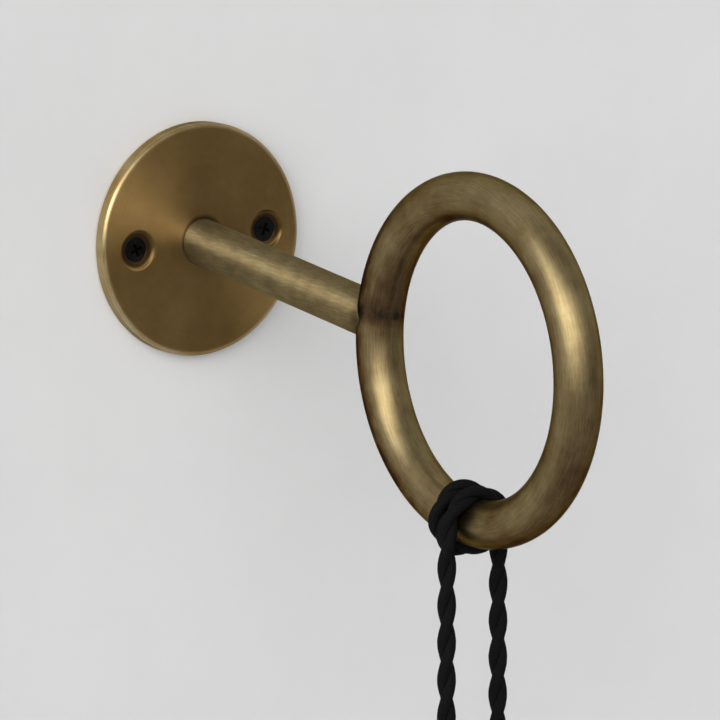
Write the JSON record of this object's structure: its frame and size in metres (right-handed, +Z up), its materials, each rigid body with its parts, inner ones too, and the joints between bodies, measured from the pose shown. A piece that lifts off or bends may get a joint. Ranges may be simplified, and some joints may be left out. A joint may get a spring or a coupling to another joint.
{
  "type": "wall ring hook",
  "caption": "Round wall plate with a straight round arm and a closed upright ring; a twisted black cord is turned round the bottom of the ring and hangs down from it.",
  "frame": {"origin": "centre of the backplate's back face, on the wall's surface", "axes": "+Z up the wall, +Y into the wall, so the arm comes out towards -Y and the ring lies in the plane x = 0"},
  "size_m": [0.082, 0.2584, 0.223],
  "materials": {
    "brass_plate": "aged brass, turned face with a circular grain",
    "brass_bar": "aged brass bar, hand brushed, darker in the hollows",
    "plain_steel": "zinc plated steel, hidden",
    "black_screw": "black oxide, satin",
    "black_cord": "black braided textile over twisted cores"
  },
  "bodies": {
    "bracket": {"backplate": "brass_plate", "arm": "brass_bar", "ring": "brass_bar", "arm_screw": "plain_steel", "ring_stud": "plain_steel", "wall_screw_left": "black_screw", "wall_screw_right": "black_screw", "cord_hitch": "black_cord"},
    "front_strand": {"cord_front": "black_cord", "knot_front": "black_cord"},
    "back_strand": {"cord_back": "black_cord", "knot_back": "black_cord"}
  },
  "joints": [
    {"name": "front_strand_swing", "type": "hinge", "parent": "bracket", "child": "front_strand", "pos_m": [-0.0114, -0.16374, -0.09073], "axis": [1, 0, 0], "range_deg": [-35, 35]},
    {"name": "back_strand_swing", "type": "hinge", "parent": "bracket", "child": "back_strand", "pos_m": [0.0128, -0.15964, -0.09073], "axis": [1, 0, 0], "range_deg": [-35, 35]}
  ]
}
